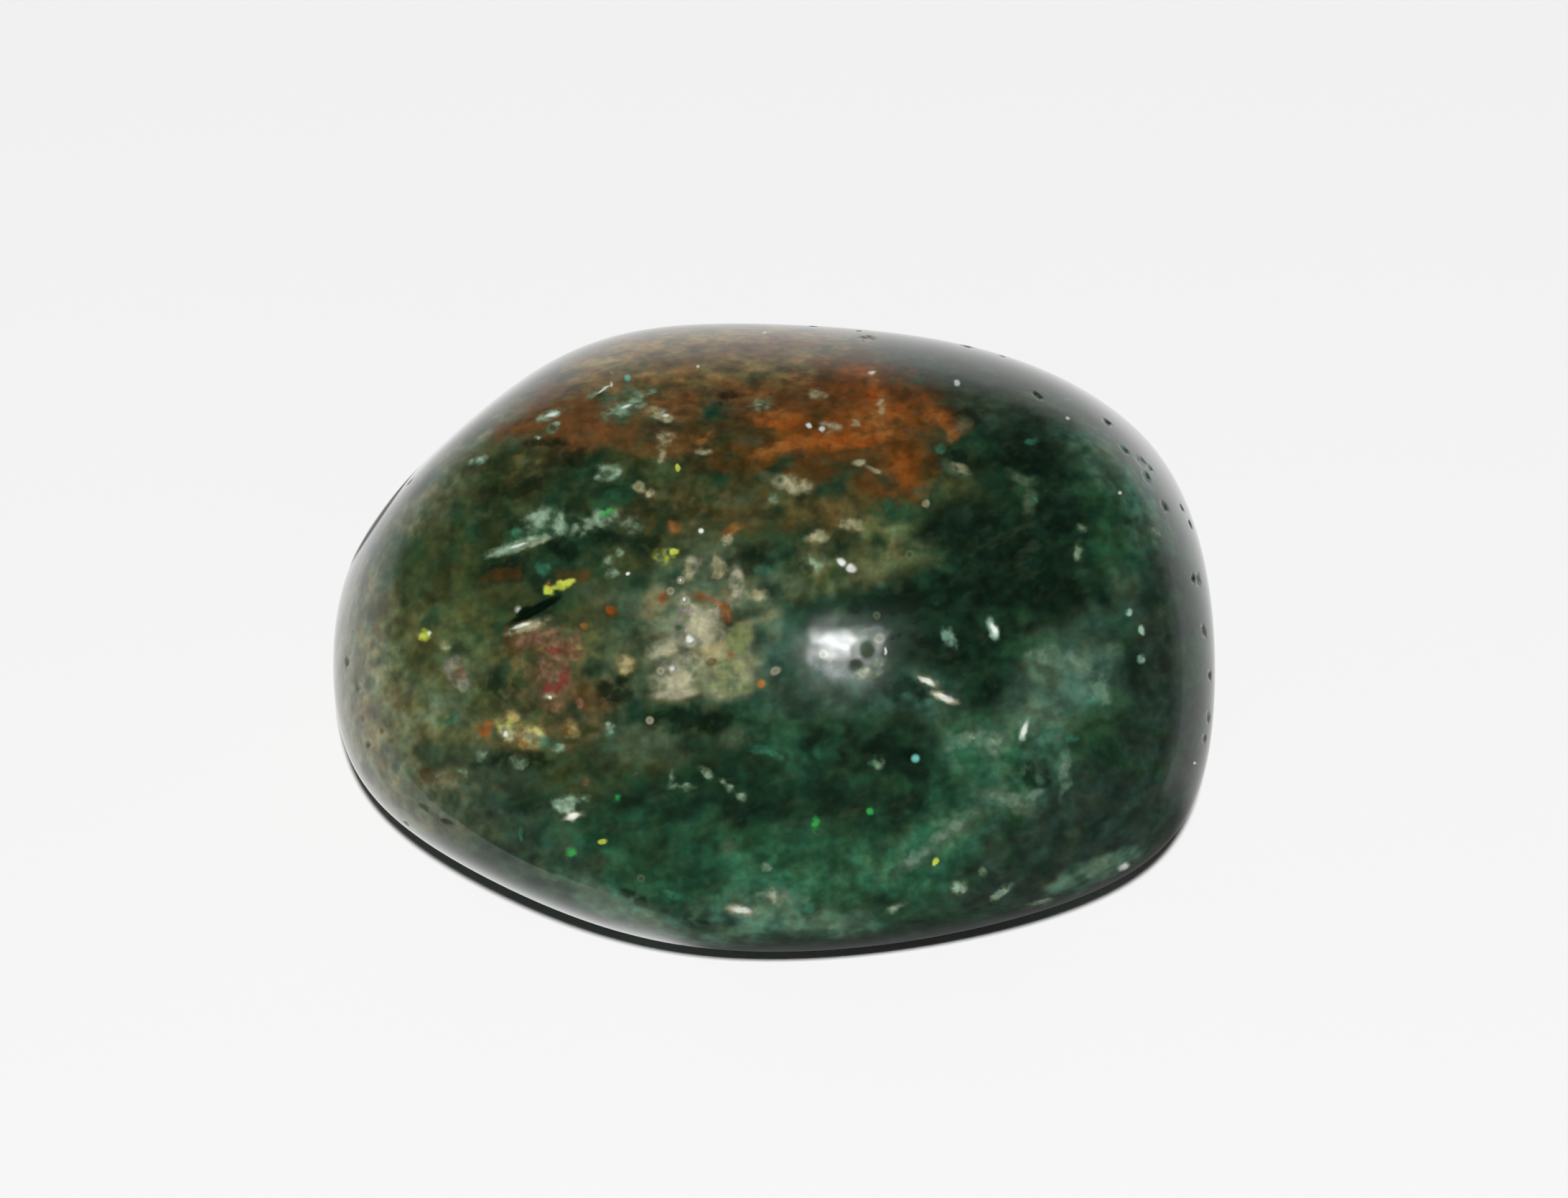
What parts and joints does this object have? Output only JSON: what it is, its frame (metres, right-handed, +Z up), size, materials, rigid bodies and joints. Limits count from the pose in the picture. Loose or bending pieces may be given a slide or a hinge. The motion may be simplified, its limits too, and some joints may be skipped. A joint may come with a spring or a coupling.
{
  "type": "tumbled bloodstone",
  "caption": "Smooth tumbled bloodstone pebble, polished dark green with rust, cream, teal and red markings, resting on the flat of its underside.",
  "frame": {"origin": "middle of the stone's footprint, on the surface that it rests on", "axes": "+X along the stone's length towards its blunt end, +Y away from the side that the picture looks at, +Z up through the crown"},
  "size_m": [0.0278, 0.0218, 0.0118],
  "materials": {
    "bloodstone": "tumble polished, glossy, mottled green with rust, cream, teal and red patches"
  },
  "bodies": {
    "root": {"bloodstone": "bloodstone"}
  },
  "joints": []
}
